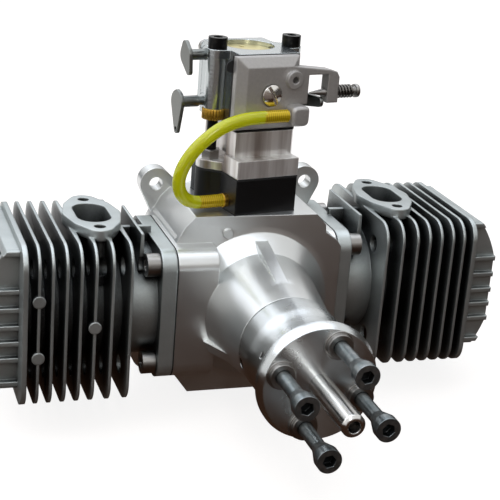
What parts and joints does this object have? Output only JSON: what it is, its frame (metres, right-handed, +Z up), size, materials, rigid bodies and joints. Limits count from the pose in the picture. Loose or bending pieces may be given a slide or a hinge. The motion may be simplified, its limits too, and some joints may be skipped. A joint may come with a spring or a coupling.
{
  "type": "model aircraft engine",
  "caption": "Opposed two-stroke engine for a large model aircraft, with finned cylinders, a diaphragm carburettor on a reed block, a propeller hub and rear mounting lugs.",
  "frame": {"origin": "centre of the pattern of the mounting lug holes, on the rear faces of the lugs", "axes": "+X across the engine towards the right-hand cylinder as seen from the propeller, +Y back along the crankshaft away from the propeller, +Z up towards the carburettor"},
  "size_m": [0.2068, 0.1625, 0.1389],
  "materials": {
    "machined_alloy": "satin, machined",
    "cast_fins": "matt, as cast",
    "die_cast": "satin, die cast",
    "piston_alloy": "satin",
    "steel": "bright",
    "black_steel": "black oxide",
    "brass": "satin",
    "gasket": "matt",
    "black_plastic": "matt",
    "pulse_hose": "clear, glossy"
  },
  "bodies": {
    "engine": {"crankcase": "machined_alloy", "rear_cover": "machined_alloy", "rear_cover_gasket": "gasket", "rear_cover_screws": "black_steel", "bearing_outer_rings": "steel", "bearing_balls": "steel", "crank_seal": "gasket", "cylinder_left": "cast_fins", "cylinder_right": "cast_fins", "base_gaskets": "gasket", "cylinder_bolts": "steel", "reed_block": "black_plastic", "reed_cage": "black_plastic", "reed_petals": "black_plastic", "intake_gaskets": "gasket", "manifold": "machined_alloy", "carb_body": "die_cast", "pump_cover": "die_cast", "pump_cover_gasket": "gasket", "pump_cover_screw": "steel", "metering_cover": "die_cast", "metering_screws": "steel", "idle_spring": "black_steel", "carb_bolts": "black_steel", "carb_bolt_nut": "steel", "brass_lock_nut": "brass", "pulse_elbow": "steel", "pulse_barb": "brass", "pulse_tube": "pulse_hose"},
    "crankshaft": {"crankshaft_front": "steel", "crankshaft_centre": "steel", "crankshaft_rear": "steel", "bearing_inner_rings": "steel", "prop_hub": "machined_alloy", "hub_magnet": "black_steel", "stub_shaft": "steel", "prop_bolts": "black_steel", "prop_washers": "steel"},
    "piston_left": {"piston_left": "piston_alloy", "piston_rings_left": "black_steel", "wrist_pin_left": "steel", "wrist_clips_left": "steel", "rod_left": "steel", "rod_bearings_left": "brass", "crank_pin_left": "steel"},
    "piston_right": {"piston_right": "piston_alloy", "piston_rings_right": "black_steel", "wrist_pin_right": "steel", "wrist_clips_right": "steel", "rod_right": "steel", "rod_bearings_right": "brass", "crank_pin_right": "steel"},
    "choke": {"choke_shaft": "steel", "choke_disc": "brass"},
    "throttle": {"throttle_shaft": "steel", "throttle_disc": "brass"},
    "idle_screw": {"idle_screw": "black_steel"},
    "mixture_needle_high": {"mixture_needle_high": "steel"},
    "mixture_needle_low": {"mixture_needle_low": "steel"}
  },
  "joints": [
    {"name": "crank_spin", "type": "hinge", "parent": "engine", "child": "crankshaft", "pos_m": [0, 0, 0], "axis": [0, -1, 0], "continuous": true},
    {"name": "piston_left_slide", "type": "slide", "parent": "engine", "child": "piston_left", "axis": [1, 0, 0], "range_m": [0, 0.03]},
    {"name": "piston_right_slide", "type": "slide", "parent": "engine", "child": "piston_right", "axis": [-1, 0, 0], "range_m": [0, 0.03]},
    {"name": "choke_turn", "type": "hinge", "parent": "engine", "child": "choke", "pos_m": [-0.001, -0.0167, 0.0894], "axis": [0.9799, 0.1994, 0], "range_deg": [0, 85]},
    {"name": "throttle_turn", "type": "hinge", "parent": "engine", "child": "throttle", "pos_m": [-0.001, -0.0167, 0.0721], "axis": [0.9799, 0.1994, 0], "range_deg": [0, 75]},
    {"name": "idle_screw_turn", "type": "hinge", "parent": "engine", "child": "idle_screw", "pos_m": [0.00297, -0.0362, 0.0782], "axis": [0.9799, 0.1994, 0], "range_deg": [-720, 720]},
    {"name": "mixture_high_turn", "type": "hinge", "parent": "engine", "child": "mixture_needle_high", "pos_m": [0.0014, -0.02846, 0.0822], "axis": [0.9799, 0.1994, 0], "range_deg": [-360, 360]},
    {"name": "mixture_low_turn", "type": "hinge", "parent": "engine", "child": "mixture_needle_low", "pos_m": [0.0014, -0.02846, 0.0762], "axis": [0.9799, 0.1994, 0], "range_deg": [-360, 360]}
  ],
  "couplings": [
    {"joint": "piston_right_slide", "follows": "piston_left_slide", "ratio": 1}
  ]
}
